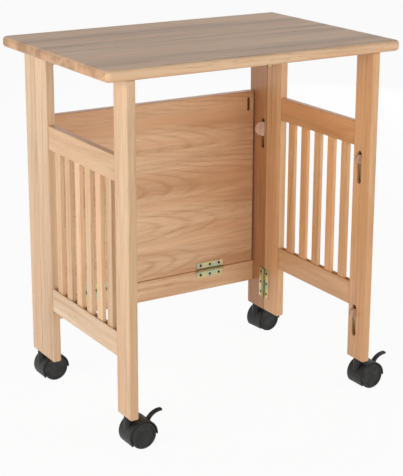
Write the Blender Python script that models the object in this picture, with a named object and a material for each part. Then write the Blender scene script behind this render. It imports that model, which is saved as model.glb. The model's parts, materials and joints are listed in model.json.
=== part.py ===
"""Folding printer stand on casters: back frame, two hinged side frames, drop-down shelf, tilting top.

Metres, +Z up. The origin is on the floor in the middle of the stand's box; +X is the stand's right
and +Y its back. Boards keep a hairline FIT_GAP where they meet.
"""

import math

import bmesh
import bpy
from mathutils import Matrix, Vector

# Fit
FIT_GAP = 0.0003

# Table top
TOP_WIDTH = 0.610
TOP_DEPTH = 0.418
TOP_THICKNESS = 0.020
TOP_CORNER_RADIUS = 0.010
TOP_CORNER_STEPS = 5
TOP_EDGE_EASE = 0.004
TOP_EASE_STEPS = 2
SIDE_OVERHANG = 0.042
FRONT_OVERHANG = 0.008
BACK_OVERHANG = 0.008

# Side frames; heights count from the bottom of the legs
LEG_LENGTH = 0.606
LEG_WIDTH = 0.049
FRAME_THICKNESS = 0.016
BOARD_EASE = 0.0015
RAIL_HEIGHT = 0.046
RAIL_THICKNESS = 0.014
UPPER_RAIL_LOW = 0.424
LOWER_RAIL_LOW = 0.106
SLAT_WIDTH = 0.020
SLAT_THICKNESS = 0.008
SLAT_TENON = 0.008
SLAT_EASE = 0.001
LEFT_SLATS = 6
RIGHT_SLATS = 5

# Back frame; the right stile is deeper, so that the right side frame folds in front of the left one
LEFT_STILE_WIDTH = 0.044
FOLD_CLEARANCE = 0.002
BACK_RAIL_THICKNESS = 0.018
BACK_RAIL_SETBACK = 0.002
BACK_TOP_RAIL_HEIGHT = 0.037
BACK_BOTTOM_RAIL_LOW = 0.056
BACK_BOTTOM_RAIL_HEIGHT = 0.044

# Shelf panel
SHELF_THICKNESS = 0.018
SHELF_HEIGHT = 0.369
SHELF_SIDE_GAP = 0.004
SHELF_FOOT_GAP = 0.001
SHELF_SLOT_WIDTH = 0.005
SHELF_SLOT_HEIGHT = 0.029
SHELF_SLOT_DEPTH = 0.006
SHELF_SLOT_EDGE = 0.009
SHELF_SLOT_DROP = 0.012

# Hinges
LEAF_THICKNESS = 0.0015
KNUCKLE_RADIUS = 0.0032
PIN_RADIUS = 0.0015
PIN_CLEARANCE = 0.0001
KNUCKLE_GAP = 0.0003
KNUCKLE_SIDES = 10
TAB_INSET = 0.0001
BUTT_LENGTH = 0.0635
BUTT_LEAF_WIDTH = 0.0165
BUTT_KNUCKLES = 5
LOWER_HINGE_LOW = 0.030
UPPER_HINGE_DROP = 0.014
SHELF_HINGE_INSET = 0.111
TOP_HINGE_LENGTH = 0.440
TOP_HINGE_LEAF_WIDTH = 0.014
TOP_HINGE_KNUCKLES = 9

# Spring catches, each in an upright pocket
POCKET_WIDTH = 0.0116
POCKET_HEIGHT = 0.064
POCKET_DEPTH = 0.013
POCKET_ARC_STEPS = 5
CATCH_FOOT_HEIGHT = 0.0065
CATCH_FOOT_DEPTH = 0.007
CATCH_FOOT_TAIL = 0.0025
CATCH_LENGTH = 0.0514
CATCH_STRIP_WIDTH = 0.010
CATCH_STRIP_THICKNESS = 0.0016
CATCH_REACH = 0.010
LEG_KNOB_HEIGHT = 0.018
STILE_KNOB_HEIGHT = 0.026
KNOB_ARC_STEPS = 6
KNOB_EASE = 0.0015
UPPER_CATCH_LOW = 0.353
LEG_CATCH_INSET = 0.030
STILE_CATCH_INSET = 0.013
SHELF_REST_GAP = 0.0005

# Casters
CASTER_HEIGHT = 0.060
CASTER_TRAIL = 0.020
WHEEL_RADIUS = 0.025
WHEEL_WIDTH = 0.017
WHEEL_SHOULDER = 0.002
WHEEL_DISH_RADIUS = 0.0195
WHEEL_DISH_DEPTH = 0.001
WHEEL_END_WALL = 0.003
WHEEL_SIDES = 24
WEB_THICKNESS = 0.009
WHEEL_GAP = 0.0004
AXLE_RADIUS = 0.003
AXLE_CLEARANCE = 0.00015
HOOD_CLEARANCE = 0.001
HOOD_WALL = 0.0025
HOOD_NOSE_DEG = 215.0
HOOD_TAIL_DEG = -3.0
HOOD_ARC_STEPS = 16
BOSS_RADIUS = 0.008
STEM_RADIUS = 0.004
STEM_LENGTH = 0.034
STEM_SIDES = 12
PEDAL_DEG = 45.0
PEDAL_BARREL_RADIUS = 0.0034
PEDAL_PIN_RADIUS = 0.001
PEDAL_ARM_LENGTH = 0.033
PEDAL_ROOT_DEG = 55.0
PEDAL_TIP_DEG = -12.0
PEDAL_ROOT_THICKNESS = 0.005
PEDAL_TIP_THICKNESS = 0.003
PEDAL_ARC_STEPS = 8
REAR_RIGHT_HEADING_DEG = 5.0

# Places that follow from the sizes above
LEG_BOTTOM = CASTER_HEIGHT
LEG_TOP = LEG_BOTTOM + LEG_LENGTH
TOP_UNDERSIDE = LEG_TOP + FIT_GAP
OUTER_X = TOP_WIDTH / 2 - SIDE_OVERHANG
INNER_X = OUTER_X - FRAME_THICKNESS
LEG_FRONT = -TOP_DEPTH / 2 + FRONT_OVERHANG
STILE_REAR = TOP_DEPTH / 2 - BACK_OVERHANG
LEFT_SEAM = STILE_REAR - LEFT_STILE_WIDTH
RIGHT_SEAM = LEFT_SEAM - FRAME_THICKNESS - FOLD_CLEARANCE
BACK_RAIL_REAR = STILE_REAR - BACK_RAIL_SETBACK
BACK_RAIL_FRONT = BACK_RAIL_REAR - BACK_RAIL_THICKNESS
BACK_TOP_RAIL_TOP = TOP_UNDERSIDE - LEAF_THICKNESS - 2 * FIT_GAP
BOTTOM_RAIL_TOP = LEG_BOTTOM + BACK_BOTTOM_RAIL_LOW + BACK_BOTTOM_RAIL_HEIGHT
SHELF_BOTTOM = BOTTOM_RAIL_TOP + SHELF_FOOT_GAP
SHELF_TOP = SHELF_BOTTOM + SHELF_HEIGHT
SHELF_HALF_WIDTH = INNER_X - SHELF_SIDE_GAP
PIN_STANDOFF = FIT_GAP + KNUCKLE_RADIUS
SHELF_PIN_Y = BACK_RAIL_FRONT - PIN_STANDOFF
SHELF_PIN_Z = (BOTTOM_RAIL_TOP + SHELF_BOTTOM) / 2
TOP_PIN_Y = BACK_RAIL_REAR + PIN_STANDOFF
TOP_PIN_Z = TOP_UNDERSIDE - PIN_STANDOFF
STEM_X = (OUTER_X + INNER_X) / 2
FRONT_STEM_Y = LEG_FRONT + LEG_WIDTH / 2
REAR_STEM_Y = (LEFT_SEAM + STILE_REAR) / 2
HOOD_INNER_RADIUS = WHEEL_RADIUS + HOOD_CLEARANCE
HOOD_OUTER_RADIUS = HOOD_INNER_RADIUS + HOOD_WALL
HOOD_HALF_WIDTH = WEB_THICKNESS / 2 + WHEEL_GAP + WHEEL_WIDTH
PEDAL_RADIUS = HOOD_INNER_RADIUS + HOOD_WALL / 2

WOOD, ZINC, STEEL, PLASTIC = "beech_wood", "yellow_zinc", "spring_steel", "black_plastic"
FINISHES = {
    WOOD: ((0.62, 0.38, 0.20), 0.45, 0.0),
    ZINC: ((0.72, 0.58, 0.28), 0.35, 1.0),
    STEEL: ((0.42, 0.36, 0.24), 0.40, 1.0),
    PLASTIC: ((0.02, 0.02, 0.02), 0.50, 0.0),
}
SMOOTH_ANGLE = math.radians(35)
ROUND_PROFILE = 0.5
SAME_PLACE = 1e-6


def clear_scene():
    for obj in list(bpy.data.objects):
        bpy.data.objects.remove(obj, do_unlink=True)


def finish(name):
    """The material of that name, made at its first use."""
    if name not in bpy.data.materials:
        colour, roughness, metallic = FINISHES[name]
        made = bpy.data.materials.new(name)
        made.use_nodes = True
        shader = made.node_tree.nodes["Principled BSDF"]
        shader.inputs["Base Color"].default_value = (*colour, 1.0)
        shader.inputs["Roughness"].default_value = roughness
        shader.inputs["Metallic"].default_value = metallic
    return bpy.data.materials[name]


def pivot(name, location, parent=None, rotation=None):
    """An empty on a joint's axis, which carries the pieces that turn about it."""
    empty = bpy.data.objects.new(name, None)
    empty.empty_display_size = LEG_WIDTH / 2
    empty.parent = parent
    empty.matrix_local = Matrix.Translation(location) @ (rotation or Matrix()).to_4x4()
    bpy.context.scene.collection.objects.link(empty)
    return empty


def piece(name, shape, material, parent, place=None, smooth=False):
    """A named solid from a bmesh, placed in its parent's frame."""
    bmesh.ops.recalc_face_normals(shape, faces=shape.faces)
    mesh = bpy.data.meshes.new(name)
    shape.to_mesh(mesh)
    shape.free()
    if smooth:
        mesh.shade_smooth()
        mesh.set_sharp_from_angle(angle=SMOOTH_ANGLE)
    if material:
        mesh.materials.append(finish(material))
    obj = bpy.data.objects.new(name, mesh)
    obj.parent = parent
    obj.matrix_local = place or Matrix()
    bpy.context.scene.collection.objects.link(obj)
    return obj


def combine(obj, shapes, operation):
    """Joins the shapes to a solid or cuts them from it; they are in the solid's own frame."""
    bpy.context.view_layer.update()
    for shape in shapes:
        tool = piece("tool", shape, None, obj.parent, obj.matrix_local.copy())
        change = obj.modifiers.new(operation, "BOOLEAN")
        change.operation = operation
        change.object = tool
        bpy.context.view_layer.update()
        solved = obj.evaluated_get(bpy.context.evaluated_depsgraph_get())
        mesh = bpy.data.meshes.new_from_object(solved)
        obj.modifiers.clear()
        obj.data = mesh
        mesh.name = obj.name
        bpy.data.objects.remove(tool, do_unlink=True)


def block(low, high, ease=0.0):
    """A box between two corners, with its edges eased."""
    low, high = Vector(low), Vector(high)
    shape = bmesh.new()
    size = Matrix.Diagonal((*(high - low), 1.0))
    bmesh.ops.create_cube(shape, size=1.0, matrix=Matrix.Translation((low + high) / 2) @ size)
    if ease:
        bmesh.ops.bevel(shape, geom=shape.edges[:], offset=ease, segments=1, affect="EDGES")
    return shape


def rod(start, end, radius, sides):
    """A round bar between two points."""
    start, end = Vector(start), Vector(end)
    turn = (end - start).to_track_quat("Z", "Y").to_matrix().to_4x4()
    shape = bmesh.new()
    bmesh.ops.create_cone(
        shape,
        cap_ends=True,
        segments=sides,
        radius1=radius,
        radius2=radius,
        depth=(end - start).length,
        matrix=Matrix.Translation((start + end) / 2) @ turn,
    )
    return shape


def slab(outline, low_y, high_y):
    """An outline of (x, z) points extruded along Y."""
    shape = bmesh.new()
    face = shape.faces.new([shape.verts.new((x, low_y, z)) for x, z in outline])
    grown = bmesh.ops.extrude_face_region(shape, geom=[face])["geom"]
    far_side = [item for item in grown if isinstance(item, bmesh.types.BMVert)]
    bmesh.ops.translate(shape, verts=far_side, vec=(0, high_y - low_y, 0))
    return shape


def turned(profile, sides):
    """A profile of (y, radius) points turned about the Y axis."""
    shape = bmesh.new()
    points = [shape.verts.new((radius, y, 0)) for y, radius in profile]
    edges = [shape.edges.new(pair) for pair in zip(points, points[1:])]
    bmesh.ops.spin(
        shape, geom=points + edges, axis=(0, 1, 0), cent=(0, 0, 0), angle=math.tau, steps=sides
    )
    bmesh.ops.remove_doubles(shape, verts=shape.verts, dist=SAME_PLACE)
    return shape


def arc(radius, start_deg, end_deg, steps, centre=(0.0, 0.0)):
    """Points along an arc, as a list of (x, z)."""
    angles = [math.radians(start_deg + (end_deg - start_deg) * i / steps) for i in range(steps + 1)]
    return [(centre[0] + radius * math.cos(a), centre[1] + radius * math.sin(a)) for a in angles]


def pocket_shape(depth):
    """The routed pocket of a catch: upright, round ended, cut to this depth below x = 0."""
    radius = POCKET_WIDTH / 2
    lower = arc(radius, 180, 360, POCKET_ARC_STEPS, (0, radius))
    upper = arc(radius, 0, 180, POCKET_ARC_STEPS, (0, POCKET_HEIGHT - radius))
    shape = slab(lower + upper, -depth, FRAME_THICKNESS)
    bmesh.ops.rotate(shape, verts=shape.verts, matrix=Matrix.Rotation(-math.pi / 2, 3, "Z"))
    return shape


def moved(shape, matrix):
    bmesh.ops.transform(shape, matrix=matrix, verts=shape.verts)
    return shape


def into_bay(side):
    """Turns local +X from a board's inner face into the bay; side is -1 on the left and 1 on the right."""
    return Matrix.Rotation(math.pi, 4, "Z") if side > 0 else Matrix()


def pocket_at(side, y, low):
    return moved(
        pocket_shape(POCKET_DEPTH), Matrix.Translation((side * INNER_X, y, low)) @ into_bay(side)
    )


def stem_hole(x, y):
    top = LEG_BOTTOM + STEM_LENGTH + FIT_GAP
    return rod((x, y, 0.0), (x, y, top), STEM_RADIUS + FIT_GAP, STEM_SIDES)


def upright(name, side, low_y, high_y, parent, cuts):
    """A leg or stile: a full-height board of a side, with its pockets and stem hole."""
    low_x, high_x = sorted((side * INNER_X, side * OUTER_X))
    shape = block((low_x, low_y, LEG_BOTTOM), (high_x, high_y, LEG_TOP), BOARD_EASE)
    board = piece(name, shape, WOOD, parent["root"], parent["place"])
    combine(board, cuts, "DIFFERENCE")


def slat_centres(start, end, count):
    gap = (end - start - count * SLAT_WIDTH) / (count + 1)
    return [start + (i + 1) * gap + (i + 0.5) * SLAT_WIDTH for i in range(count)]


def side_frame(side, seam, slats, name, parent):
    """Two legs, two rails and the slats that are tenoned into the rails."""
    front_end = LEG_FRONT + LEG_WIDTH
    rear_leg_back = seam - FIT_GAP
    rear_leg_front = rear_leg_back - LEG_WIDTH
    catch_y = LEG_FRONT + LEG_CATCH_INSET
    cuts = [pocket_at(side, catch_y, low) for low in (leg_catch_low(), LEG_BOTTOM + UPPER_CATCH_LOW)]
    cuts.append(stem_hole(side * STEM_X, FRONT_STEM_Y))
    upright(f"{name}_front_leg", side, LEG_FRONT, front_end, parent, cuts)
    upright(f"{name}_rear_leg", side, rear_leg_front, rear_leg_back, parent, [])

    centres = slat_centres(front_end, rear_leg_front, slats)
    lower_top = LEG_BOTTOM + LOWER_RAIL_LOW + RAIL_HEIGHT
    upper_low = LEG_BOTTOM + UPPER_RAIL_LOW
    slat_low = lower_top - SLAT_TENON
    slat_high = upper_low + SLAT_TENON

    def slat(y, grow, ease):
        half = Vector((SLAT_THICKNESS / 2 + grow, SLAT_WIDTH / 2 + grow))
        return block(
            (side * STEM_X - half.x, y - half.y, slat_low - grow),
            (side * STEM_X + half.x, y + half.y, slat_high + grow),
            ease,
        )

    for rail, low in (("upper", upper_low), ("lower", LEG_BOTTOM + LOWER_RAIL_LOW)):
        shape = block(
            (side * STEM_X - RAIL_THICKNESS / 2, front_end + FIT_GAP, low),
            (side * STEM_X + RAIL_THICKNESS / 2, rear_leg_front - FIT_GAP, low + RAIL_HEIGHT),
            BOARD_EASE,
        )
        board = piece(f"{name}_{rail}_rail", shape, WOOD, parent["root"], parent["place"])
        combine(board, [slat(y, FIT_GAP, 0.0) for y in centres], "DIFFERENCE")
    for number, y in enumerate(centres, 1):
        piece(f"{name}_slat_{number}", slat(y, 0.0, SLAT_EASE), WOOD, parent["root"], parent["place"])


def leg_catch_low():
    """Foot of the lower pockets: their knobs end just under the lowered shelf."""
    knob_top = CATCH_FOOT_HEIGHT + CATCH_LENGTH * math.cos(catch_lean())
    knob_top += CATCH_STRIP_THICKNESS / 2 * math.sin(catch_lean())
    return SHELF_PIN_Z + PIN_STANDOFF - SHELF_REST_GAP - knob_top


def catch_lean():
    """How far a catch leans out at rest: its strip leaves the pocket at the middle of the leg knob."""
    return math.atan2(CATCH_FOOT_DEPTH, CATCH_LENGTH - LEG_KNOB_HEIGHT / 2)


def catch(name, side, y, low, knob_height, parent):
    """A spring strip that leans out of its pocket and ends in a rounded knob."""
    axis = (side * (INNER_X + CATCH_FOOT_DEPTH), y, low + CATCH_FOOT_HEIGHT)
    turn = into_bay(side) @ Matrix.Rotation(catch_lean(), 4, "Y")
    hinge = pivot(f"{name}_pivot", parent["at"](axis), parent["root"], turn)
    half = CATCH_STRIP_THICKNESS / 2
    strip = block(
        (-half, -CATCH_STRIP_WIDTH / 2, -CATCH_FOOT_TAIL), (half, CATCH_STRIP_WIDTH / 2, CATCH_LENGTH)
    )
    body = piece(name, strip, STEEL, hinge, smooth=True)
    knob_half = knob_height / 2
    curve = arc(1.0, -90, 90, KNOB_ARC_STEPS)
    reach = CATCH_REACH / math.cos(catch_lean())
    middle = CATCH_LENGTH - knob_half
    outline = [(-half, CATCH_LENGTH), (-half, CATCH_LENGTH - knob_height)]
    outline += [(reach * x, middle + knob_half * z) for x, z in curve]
    knob_width = POCKET_WIDTH - 2 * FIT_GAP
    knob = slab(outline, -knob_width / 2, knob_width / 2)
    nose = [v for v in knob.verts if v.co.x > half]
    rim = [e for e in knob.edges if e.verts[0].co.y == e.verts[1].co.y and all(v in nose for v in e.verts)]
    bmesh.ops.bevel(knob, geom=rim, offset=KNOB_EASE, segments=1, affect="EDGES", clamp_overlap=True)
    combine(body, [knob], "UNION")


def hinge_leaf(name, length, width, knuckles, first, parent, place):
    """A leaf along local +Y with every second knuckle on local X; the first leaf also holds the pin."""
    pitch = length / knuckles
    floor = -KNUCKLE_RADIUS
    plate_start = KNUCKLE_RADIUS + KNUCKLE_GAP
    plate = block((-length / 2, plate_start, floor), (length / 2, width, floor + LEAF_THICKNESS))
    leaf = piece(name, plate, ZINC, parent, place, smooth=True)
    shapes = []
    for knuckle in range(first, knuckles, 2):
        low = -length / 2 + knuckle * pitch + (KNUCKLE_GAP / 2 if knuckle else 0.0)
        high = -length / 2 + (knuckle + 1) * pitch - (KNUCKLE_GAP / 2 if knuckle < knuckles - 1 else 0.0)
        tab_low = (low + TAB_INSET, 0.0, floor + TAB_INSET)
        tab_high = (high - TAB_INSET, plate_start + LEAF_THICKNESS, floor + LEAF_THICKNESS - TAB_INSET)
        shapes.append(block(tab_low, tab_high))
        shapes.append(rod((low, 0, 0), (high, 0, 0), KNUCKLE_RADIUS, KNUCKLE_SIDES))
    combine(leaf, shapes, "UNION")
    if first:
        bore = rod((-length, 0, 0), (length, 0, 0), PIN_RADIUS + PIN_CLEARANCE, KNUCKLE_SIDES)
        combine(leaf, [bore], "DIFFERENCE")
    else:
        reach = length / 2 - pitch / 2
        combine(leaf, [rod((-reach, 0, 0), (reach, 0, 0), PIN_RADIUS, KNUCKLE_SIDES)], "UNION")


def axes(x, y, z):
    """The turn that takes local X, Y and Z to these directions."""
    return Matrix((x, y, z)).transposed().to_4x4()


def butt_hinge(name, centre, turn, fixed, moving):
    """A butt hinge that lies open: one leaf on the fixed board and one on the moving board."""
    half_turn = Matrix.Rotation(math.pi, 4, "Z")
    size = (BUTT_LENGTH, BUTT_LEAF_WIDTH, BUTT_KNUCKLES)
    hinge_leaf(
        f"{name}_fixed_leaf", *size, 0, fixed["root"], Matrix.Translation(fixed["at"](centre)) @ turn
    )
    hinge_leaf(
        f"{name}_moving_leaf",
        *size,
        1,
        moving["root"],
        Matrix.Translation(moving["at"](centre)) @ turn @ half_turn,
    )


def body(name, location, parent=None):
    """A pivot with the way to write places in the stand's frame on it."""
    location = Vector(location)
    start = parent["origin"] if parent else Vector()
    root = pivot(name, location - start, parent["root"] if parent else None)
    return {
        "root": root,
        "origin": location,
        "place": Matrix.Translation(-location),
        "at": lambda point: Vector(point) - location,
    }


def table_top(parent):
    low = (-TOP_WIDTH / 2, -TOP_DEPTH / 2, TOP_UNDERSIDE)
    high = (TOP_WIDTH / 2, TOP_DEPTH / 2, TOP_UNDERSIDE + TOP_THICKNESS)
    shape = block(low, high)

    def rounded(edges, offset, steps):
        bmesh.ops.bevel(
            shape, geom=edges, offset=offset, segments=steps, profile=ROUND_PROFILE, affect="EDGES"
        )

    def rise(edge):
        return abs(edge.verts[0].co.z - edge.verts[1].co.z)

    rounded([e for e in shape.edges if rise(e) > SAME_PLACE], TOP_CORNER_RADIUS, TOP_CORNER_STEPS)
    rounded([e for e in shape.edges if rise(e) < SAME_PLACE], TOP_EDGE_EASE, TOP_EASE_STEPS)
    piece("table_top", shape, WOOD, parent["root"], parent["place"])


def back_frame(parent):
    """Two stiles with a rail under the top and a rail under the shelf."""
    upper_low = LEG_BOTTOM + UPPER_CATCH_LOW
    for name, side, seam in (("left", -1, LEFT_SEAM), ("right", 1, RIGHT_SEAM)):
        cuts = [pocket_at(side, seam + STILE_CATCH_INSET, upper_low)]
        cuts.append(stem_hole(side * STEM_X, REAR_STEM_Y))
        upright(f"back_{name}_stile", side, seam, STILE_REAR, parent, cuts)
    end = INNER_X - FIT_GAP
    rails = (
        ("back_top_rail", BACK_TOP_RAIL_TOP - BACK_TOP_RAIL_HEIGHT, BACK_TOP_RAIL_TOP),
        ("back_bottom_rail", LEG_BOTTOM + BACK_BOTTOM_RAIL_LOW, BOTTOM_RAIL_TOP),
    )
    for name, low, high in rails:
        shape = block((-end, BACK_RAIL_FRONT, low), (end, BACK_RAIL_REAR, high), BOARD_EASE)
        piece(name, shape, WOOD, parent["root"], parent["place"])


def shelf_panel(parent):
    """The panel that drops to a shelf, with a blind slot near each upper corner."""
    front = BACK_RAIL_FRONT
    shape = block(
        (-SHELF_HALF_WIDTH, front, SHELF_BOTTOM),
        (SHELF_HALF_WIDTH, front + SHELF_THICKNESS, SHELF_TOP),
        BOARD_EASE,
    )
    panel = piece("shelf_panel", shape, WOOD, parent["root"], parent["place"])
    cuts = []
    for side in (-1, 1):
        edges = (SHELF_HALF_WIDTH - SHELF_SLOT_EDGE, SHELF_HALF_WIDTH - SHELF_SLOT_EDGE - SHELF_SLOT_WIDTH)
        low_x, high_x = sorted(side * edge for edge in edges)
        high_z = SHELF_TOP - SHELF_SLOT_DROP
        low = (low_x, front - SHELF_SLOT_DEPTH, high_z - SHELF_SLOT_HEIGHT)
        cuts.append(block(low, (high_x, front + SHELF_SLOT_DEPTH, high_z)))
    combine(panel, cuts, "DIFFERENCE")


def caster_hood(name, braked, parent):
    """Hood over both wheels with its middle web, axle, boss and stem, in one moulding."""
    hood_arc = arc(HOOD_OUTER_RADIUS, HOOD_NOSE_DEG, HOOD_TAIL_DEG, HOOD_ARC_STEPS)
    under = arc(HOOD_INNER_RADIUS, HOOD_TAIL_DEG, HOOD_NOSE_DEG, HOOD_ARC_STEPS)
    hood = piece(name, slab(hood_arc + under, -HOOD_HALF_WIDTH, HOOD_HALF_WIDTH), PLASTIC, parent)
    half_web = WEB_THICKNESS / 2
    axle_end = HOOD_HALF_WIDTH - WHEEL_END_WALL - FIT_GAP
    web_radius = HOOD_OUTER_RADIUS - HOOD_WALL / 2
    web = arc(web_radius, HOOD_NOSE_DEG, HOOD_TAIL_DEG, HOOD_ARC_STEPS)
    boss_top = CASTER_HEIGHT - FIT_GAP - WHEEL_RADIUS
    stem_top = CASTER_HEIGHT - WHEEL_RADIUS + STEM_LENGTH
    boss_low = HOOD_INNER_RADIUS / 2
    shapes = [
        slab(web, -half_web, half_web),
        rod((0, -axle_end, 0), (0, axle_end, 0), AXLE_RADIUS, STEM_SIDES),
    ]
    combine(hood, shapes, "UNION")
    boss = rod((-CASTER_TRAIL, 0, boss_low), (-CASTER_TRAIL, 0, boss_top), BOSS_RADIUS, STEM_SIDES)
    swept = rod((0, -HOOD_HALF_WIDTH * 2, 0), (0, HOOD_HALF_WIDTH * 2, 0), HOOD_INNER_RADIUS, WHEEL_SIDES)
    boss_piece = piece("boss", boss, PLASTIC, parent)
    combine(boss_piece, [swept], "DIFFERENCE")
    boss_mesh = bmesh.new()
    boss_mesh.from_mesh(boss_piece.data)
    bpy.data.objects.remove(boss_piece, do_unlink=True)
    stem_low = boss_top - STEM_RADIUS
    stem = rod((-CASTER_TRAIL, 0, stem_low), (-CASTER_TRAIL, 0, stem_top), STEM_RADIUS, STEM_SIDES)
    combine(hood, [boss_mesh, stem], "UNION")
    if braked:
        slot = half_web + FIT_GAP
        spread = math.degrees((PEDAL_BARREL_RADIUS + FIT_GAP) / PEDAL_RADIUS)
        low_radius = PEDAL_RADIUS - PEDAL_BARREL_RADIUS - FIT_GAP
        notch = arc(low_radius, PEDAL_DEG - spread, PEDAL_DEG + spread, 2)
        notch += arc(HOOD_OUTER_RADIUS + PEDAL_BARREL_RADIUS, PEDAL_DEG + spread, PEDAL_DEG - spread, 2)
        combine(hood, [slab(notch, -slot, slot)], "DIFFERENCE")
        x, z = arc(PEDAL_RADIUS, PEDAL_DEG, PEDAL_DEG, 1)[0]
        held = slot + HOOD_WALL
        combine(hood, [rod((x, -held, z), (x, held, z), PEDAL_PIN_RADIUS, KNUCKLE_SIDES)], "UNION")
    hood.data.shade_smooth()
    hood.data.set_sharp_from_angle(angle=SMOOTH_ANGLE)


def caster_wheel(name, hand, parent):
    """One of the two wheels: rounded shoulders, a dished outer face and a blind bore."""
    bore = AXLE_RADIUS + AXLE_CLEARANCE
    outer = WHEEL_WIDTH
    profile = [
        (outer - WHEEL_END_WALL, 0.0),
        (outer - WHEEL_END_WALL, bore),
        (0.0, bore),
        (0.0, WHEEL_RADIUS - WHEEL_SHOULDER),
        (WHEEL_SHOULDER, WHEEL_RADIUS),
        (outer - WHEEL_SHOULDER, WHEEL_RADIUS),
        (outer, WHEEL_RADIUS - WHEEL_SHOULDER),
        (outer, WHEEL_DISH_RADIUS),
        (outer - WHEEL_DISH_DEPTH, WHEEL_DISH_RADIUS - WHEEL_DISH_DEPTH),
        (outer - WHEEL_DISH_DEPTH, 0.0),
    ]
    start = WEB_THICKNESS / 2 + WHEEL_GAP
    shape = turned([(hand * (start + y), radius) for y, radius in profile], WHEEL_SIDES)
    piece(name, shape, PLASTIC, parent, smooth=True)


def pedal_centre_line():
    """The pedal's arm as an arc of even bend: (x, z, direction, half thickness) from its barrel."""
    rows = []
    x = z = 0.0
    step = PEDAL_ARM_LENGTH / PEDAL_ARC_STEPS
    for i in range(PEDAL_ARC_STEPS + 1):
        share = i / PEDAL_ARC_STEPS
        direction = math.radians(PEDAL_ROOT_DEG + (PEDAL_TIP_DEG - PEDAL_ROOT_DEG) * share)
        thickness = PEDAL_ROOT_THICKNESS + (PEDAL_TIP_THICKNESS - PEDAL_ROOT_THICKNESS) * share
        rows.append((x, z, direction, thickness / 2))
        x += step * math.cos(direction)
        z += step * math.sin(direction)
    return rows


def brake_pedal(name, parent):
    """The brake pedal: a barrel on the hood's cross pin and a curved arm."""
    half = WEB_THICKNESS / 2 - FIT_GAP
    rows = pedal_centre_line()
    upper = [(x - t * math.sin(a), z + t * math.cos(a)) for x, z, a, t in rows]
    lower = [(x + t * math.sin(a), z - t * math.cos(a)) for x, z, a, t in rows]
    pedal = piece(name, slab(upper + lower[::-1], -half, half), PLASTIC, parent, smooth=True)
    combine(pedal, [rod((0, -half, 0), (0, half, 0), PEDAL_BARREL_RADIUS, STEM_SIDES)], "UNION")
    bore = rod((0, -2 * half, 0), (0, 2 * half, 0), PEDAL_PIN_RADIUS + PIN_CLEARANCE, KNUCKLE_SIDES)
    combine(pedal, [bore], "DIFFERENCE")


def pedal_overhang():
    """How far the right front pedal stands out past the table top."""
    barrel_x = arc(PEDAL_RADIUS, PEDAL_DEG, PEDAL_DEG, 1)[0][0]
    x, _, direction, half = pedal_centre_line()[-1]
    tip = x + half * abs(math.sin(direction))
    return max(0.0, STEM_X + CASTER_TRAIL + barrel_x + tip - TOP_WIDTH / 2)


def caster(name, x, y, heading_deg, braked, parent):
    """A twin-wheel caster that trails along local +X from its stem."""
    turn = Matrix.Rotation(math.radians(heading_deg), 4, "Z")
    swivel = pivot(f"{name}_swivel_pivot", parent["at"]((x, y, WHEEL_RADIUS)), parent["root"], turn)
    axle = pivot(f"{name}_axle_pivot", (CASTER_TRAIL, 0, 0), swivel)
    caster_hood(f"{name}_hood", braked, axle)
    caster_wheel(f"{name}_wheel_front", -1, axle)
    caster_wheel(f"{name}_wheel_back", 1, axle)
    if braked:
        px, pz = arc(PEDAL_RADIUS, PEDAL_DEG, PEDAL_DEG, 1)[0]
        brake_pedal(f"{name}_brake_pedal", pivot(f"{name}_pedal_pivot", (px, 0, pz), axle))


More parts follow.
